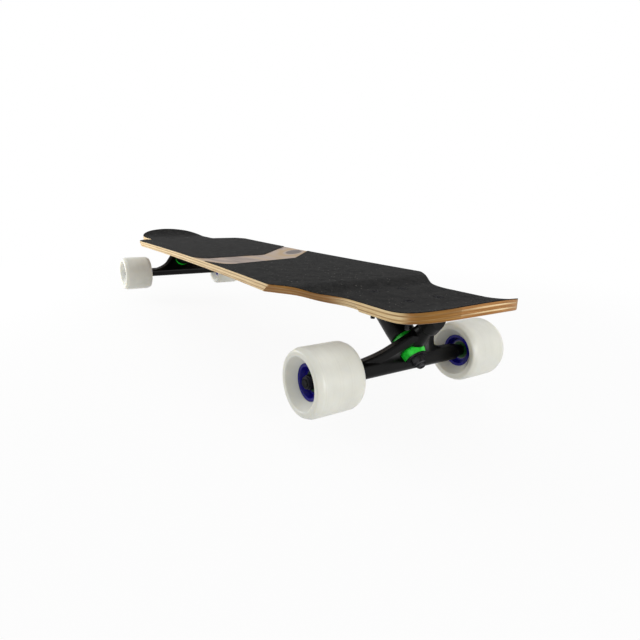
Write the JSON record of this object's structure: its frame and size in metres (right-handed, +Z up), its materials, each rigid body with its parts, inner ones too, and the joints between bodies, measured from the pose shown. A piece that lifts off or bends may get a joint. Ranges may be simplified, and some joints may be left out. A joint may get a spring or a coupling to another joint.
{
  "type": "skateboard",
  "caption": "Longboard skateboard: waisted plywood deck with wheel cut-outs and gripped top, on steering trucks with urethane bushings and soft wheels on ball bearings.",
  "frame": {"origin": "on the ground under the middle of the board, midway between the axles", "axes": "+X to the front end, +Y to the left side, +Z up"},
  "size_m": [0.967, 0.2656, 0.1244],
  "materials": {
    "plywood": "clear lacquered maple ply",
    "grip": "black abrasive sheet",
    "cast_truck": "satin black coat",
    "black_steel": "black oxide",
    "axle_steel": "plain",
    "bearing_steel": "ground",
    "bushing_urethane": "green urethane",
    "pivot_urethane": "black urethane",
    "wheel_urethane": "off-white urethane",
    "core_plastic": "navy moulded",
    "shield_rubber": "green sealed",
    "cage_plastic": "moulded"
  },
  "bodies": {
    "deck": {"deck": "plywood", "grip_tape_front": "grip", "grip_tape_rear": "grip", "deck_bolts": "black_steel", "deck_nuts": "black_steel", "front_baseplate": "cast_truck", "front_pivot_cup": "pivot_urethane", "front_kingpin": "black_steel", "front_kingpin_nut": "black_steel", "front_kingpin_washer": "black_steel", "front_boardside_bushing": "bushing_urethane", "front_roadside_bushing": "bushing_urethane", "rear_baseplate": "cast_truck", "rear_pivot_cup": "pivot_urethane", "rear_kingpin": "black_steel", "rear_kingpin_nut": "black_steel", "rear_kingpin_washer": "black_steel", "rear_boardside_bushing": "bushing_urethane", "rear_roadside_bushing": "bushing_urethane"},
    "front_hanger": {"front_hanger": "cast_truck", "front_axle": "axle_steel", "front_axle_nuts": "black_steel", "front_speed_rings": "axle_steel", "front_bearing_spacers": "axle_steel", "front_inner_races": "bearing_steel"},
    "front_left_wheel": {"front_left_tyre": "wheel_urethane", "front_left_core": "core_plastic", "front_left_outer_races": "bearing_steel", "front_left_bearing_balls": "bearing_steel", "front_left_bearing_cages": "cage_plastic", "front_left_bearing_shields": "shield_rubber"},
    "front_right_wheel": {"front_right_tyre": "wheel_urethane", "front_right_core": "core_plastic", "front_right_outer_races": "bearing_steel", "front_right_bearing_balls": "bearing_steel", "front_right_bearing_cages": "cage_plastic", "front_right_bearing_shields": "shield_rubber"},
    "rear_hanger": {"rear_hanger": "cast_truck", "rear_axle": "axle_steel", "rear_axle_nuts": "black_steel", "rear_speed_rings": "axle_steel", "rear_bearing_spacers": "axle_steel", "rear_inner_races": "bearing_steel"},
    "rear_left_wheel": {"rear_left_tyre": "wheel_urethane", "rear_left_core": "core_plastic", "rear_left_outer_races": "bearing_steel", "rear_left_bearing_balls": "bearing_steel", "rear_left_bearing_cages": "cage_plastic", "rear_left_bearing_shields": "shield_rubber"},
    "rear_right_wheel": {"rear_right_tyre": "wheel_urethane", "rear_right_core": "core_plastic", "rear_right_outer_races": "bearing_steel", "rear_right_bearing_balls": "bearing_steel", "rear_right_bearing_cages": "cage_plastic", "rear_right_bearing_shields": "shield_rubber"}
  },
  "joints": [
    {"name": "front_steer", "type": "hinge", "parent": "deck", "child": "front_hanger", "pos_m": [0.3828, 0, 0.0553], "axis": [0.6428, 0, 0.766], "range_deg": [-18, 18], "stiffness_Nm_per_rad": 40, "deforming": ["front_boardside_bushing", "front_roadside_bushing"]},
    {"name": "front_left_spin", "type": "hinge", "parent": "front_hanger", "child": "front_left_wheel", "pos_m": [0.374, 0.105, 0.035], "axis": [0, 1, 0], "continuous": true},
    {"name": "front_right_spin", "type": "hinge", "parent": "front_hanger", "child": "front_right_wheel", "pos_m": [0.374, -0.105, 0.035], "axis": [0, 1, 0], "continuous": true},
    {"name": "rear_steer", "type": "hinge", "parent": "deck", "child": "rear_hanger", "pos_m": [-0.3828, 0, 0.0553], "axis": [-0.6428, 0, 0.766], "range_deg": [-18, 18], "stiffness_Nm_per_rad": 40, "deforming": ["rear_boardside_bushing", "rear_roadside_bushing"]},
    {"name": "rear_left_spin", "type": "hinge", "parent": "rear_hanger", "child": "rear_left_wheel", "pos_m": [-0.374, 0.105, 0.035], "axis": [0, 1, 0], "continuous": true},
    {"name": "rear_right_spin", "type": "hinge", "parent": "rear_hanger", "child": "rear_right_wheel", "pos_m": [-0.374, -0.105, 0.035], "axis": [0, 1, 0], "continuous": true}
  ]
}
